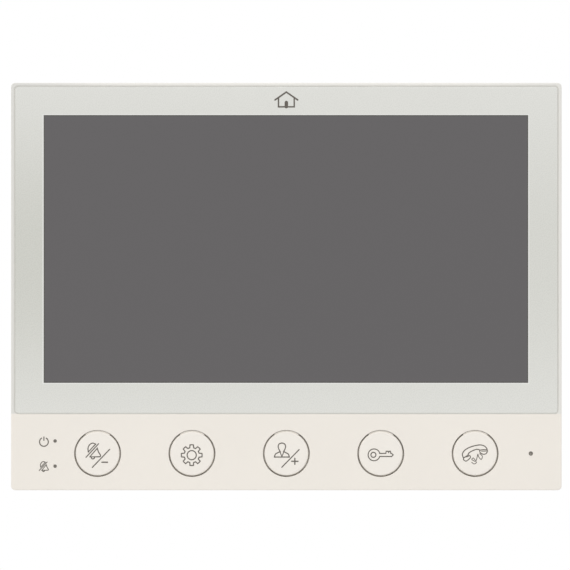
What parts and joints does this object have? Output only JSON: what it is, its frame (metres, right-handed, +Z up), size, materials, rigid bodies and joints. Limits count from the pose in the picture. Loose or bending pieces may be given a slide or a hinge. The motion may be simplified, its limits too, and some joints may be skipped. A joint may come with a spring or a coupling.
{
  "type": "video intercom monitor",
  "caption": "Slim wall-mounted indoor monitor of a video intercom: wide screen under glass over a row of round push buttons, with hook bracket.",
  "frame": {"origin": "centre of the wall bracket's back face, where it meets the wall", "axes": "+X to the right seen from the front, +Y into the wall, +Z up; the front faces -Y"},
  "size_m": [0.175, 0.021, 0.1296],
  "materials": {
    "casing": "warm white moulded plastic, satin",
    "cover_glass": "polished glass, pale grey print behind its border",
    "tape": "foam adhesive",
    "display": "unlit display",
    "tray": "moulded backlight tray",
    "zinc_sheet": "zinc-plated sheet",
    "circuit_board": "green solder mask",
    "chip": "moulded black resin",
    "plunger": "white resin",
    "terminal": "natural nylon",
    "flex_film": "amber polyimide film",
    "rubber": "black rubber",
    "cone_paper": "black film cone",
    "speaker_metal": "plated steel",
    "can": "drawn can",
    "screw_metal": "plated screw",
    "clear_plastic": "smoked clear plastic"
  },
  "bodies": {
    "bracket": {"wall_bracket": "zinc_sheet"},
    "monitor": {"front_bezel": "casing", "rear_cover": "casing", "front_glass": "cover_glass", "glass_adhesive": "tape", "lcd_cell": "display", "lcd_backlight": "tray", "lcd_chassis": "zinc_sheet", "key_board": "circuit_board", "main_board": "circuit_board", "processor_chip": "chip", "memory_chip": "chip", "video_decoder_chip": "chip", "audio_amplifier_chip": "chip", "power_inductor": "chip", "flex_socket": "chip", "mute_switch_body": "chip", "menu_switch_body": "chip", "visitor_switch_body": "chip", "unlock_switch_body": "chip", "talk_switch_body": "chip", "power_led": "plunger", "mute_led": "plunger", "door_terminal_1": "terminal", "door_terminal_2": "terminal", "camera_terminal": "terminal", "power_terminal": "terminal", "lcd_flex": "flex_film", "speaker_gasket": "rubber", "microphone_boot": "rubber", "key_cable": "rubber", "speaker_lead": "rubber", "speaker_cone": "cone_paper", "speaker_frame": "speaker_metal", "speaker_magnet": "speaker_metal", "supply_capacitor_1": "can", "supply_capacitor_2": "can", "microphone_capsule": "can", "cover_screw_1": "screw_metal", "cover_screw_2": "screw_metal", "cover_screw_3": "screw_metal", "cover_screw_4": "screw_metal", "key_board_screw_1": "screw_metal", "key_board_screw_2": "screw_metal", "main_board_screw_1": "screw_metal", "main_board_screw_2": "screw_metal", "power_light_pipe": "clear_plastic", "mute_light_pipe": "clear_plastic"},
    "mute_key": {"mute_button": "casing", "mute_switch_plunger": "plunger"},
    "menu_key": {"menu_button": "casing", "menu_switch_plunger": "plunger"},
    "visitor_key": {"visitor_button": "casing", "visitor_switch_plunger": "plunger"},
    "unlock_key": {"unlock_button": "casing", "unlock_switch_plunger": "plunger"},
    "talk_key": {"talk_button": "casing", "talk_switch_plunger": "plunger"}
  },
  "joints": [
    {"name": "monitor_lift", "type": "slide", "parent": "bracket", "child": "monitor", "axis": [0, 0, 1], "range_m": [0, 0.006]},
    {"name": "mute_press", "type": "slide", "parent": "monitor", "child": "mute_key", "axis": [0, 1, 0], "range_m": [0, 0.0005], "stiffness_N_per_m": 2500, "springref_m": -0.0002},
    {"name": "menu_press", "type": "slide", "parent": "monitor", "child": "menu_key", "axis": [0, 1, 0], "range_m": [0, 0.0005], "stiffness_N_per_m": 2500, "springref_m": -0.0002},
    {"name": "visitor_press", "type": "slide", "parent": "monitor", "child": "visitor_key", "axis": [0, 1, 0], "range_m": [0, 0.0005], "stiffness_N_per_m": 2500, "springref_m": -0.0002},
    {"name": "unlock_press", "type": "slide", "parent": "monitor", "child": "unlock_key", "axis": [0, 1, 0], "range_m": [0, 0.0005], "stiffness_N_per_m": 2500, "springref_m": -0.0002},
    {"name": "talk_press", "type": "slide", "parent": "monitor", "child": "talk_key", "axis": [0, 1, 0], "range_m": [0, 0.0005], "stiffness_N_per_m": 2500, "springref_m": -0.0002}
  ]
}
